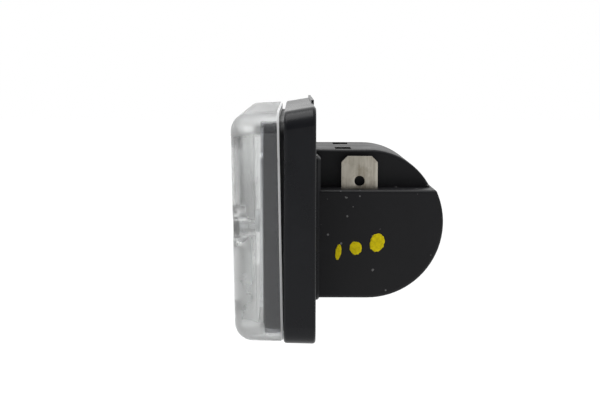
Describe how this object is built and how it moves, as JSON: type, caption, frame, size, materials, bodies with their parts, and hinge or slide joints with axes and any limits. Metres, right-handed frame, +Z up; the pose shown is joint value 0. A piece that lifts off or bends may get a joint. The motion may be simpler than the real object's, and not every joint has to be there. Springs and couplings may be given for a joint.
{
  "type": "position lamp",
  "caption": "Panel-mounted vehicle position lamp: clear fluted lens over a soft black gasket frame, with a round-backed black housing, festoon bulb and blade terminals behind the panel",
  "frame": {"origin": "On the panel face (the back of the gasket frame), midway between the two fixing holes", "axes": "X points from the lens back through the panel, Y along the lamp's width, Z up as fitted"},
  "size_m": [0.0359, 0.09, 0.0386],
  "materials": {
    "clear_acrylic": "clear, polished",
    "black_rubber": "soft satin, slightly dusty",
    "black_plastic": "fine satin moulding",
    "bright_aluminium": "bright rolled",
    "tinned_strip": "dull tin plate with stamping streaks",
    "bulb_glass": "clear",
    "plated_cap": "nickel plated",
    "filament_wire": "drawn wire"
  },
  "bodies": {
    "root": {"lens": "clear_acrylic", "base_frame": "black_rubber", "housing": "black_plastic", "reflector": "bright_aluminium", "contact_near": "tinned_strip", "contact_far": "tinned_strip", "bulb_glass": "bulb_glass", "bulb_cap_near": "plated_cap", "bulb_cap_far": "plated_cap", "bulb_filament": "filament_wire"}
  },
  "joints": []
}
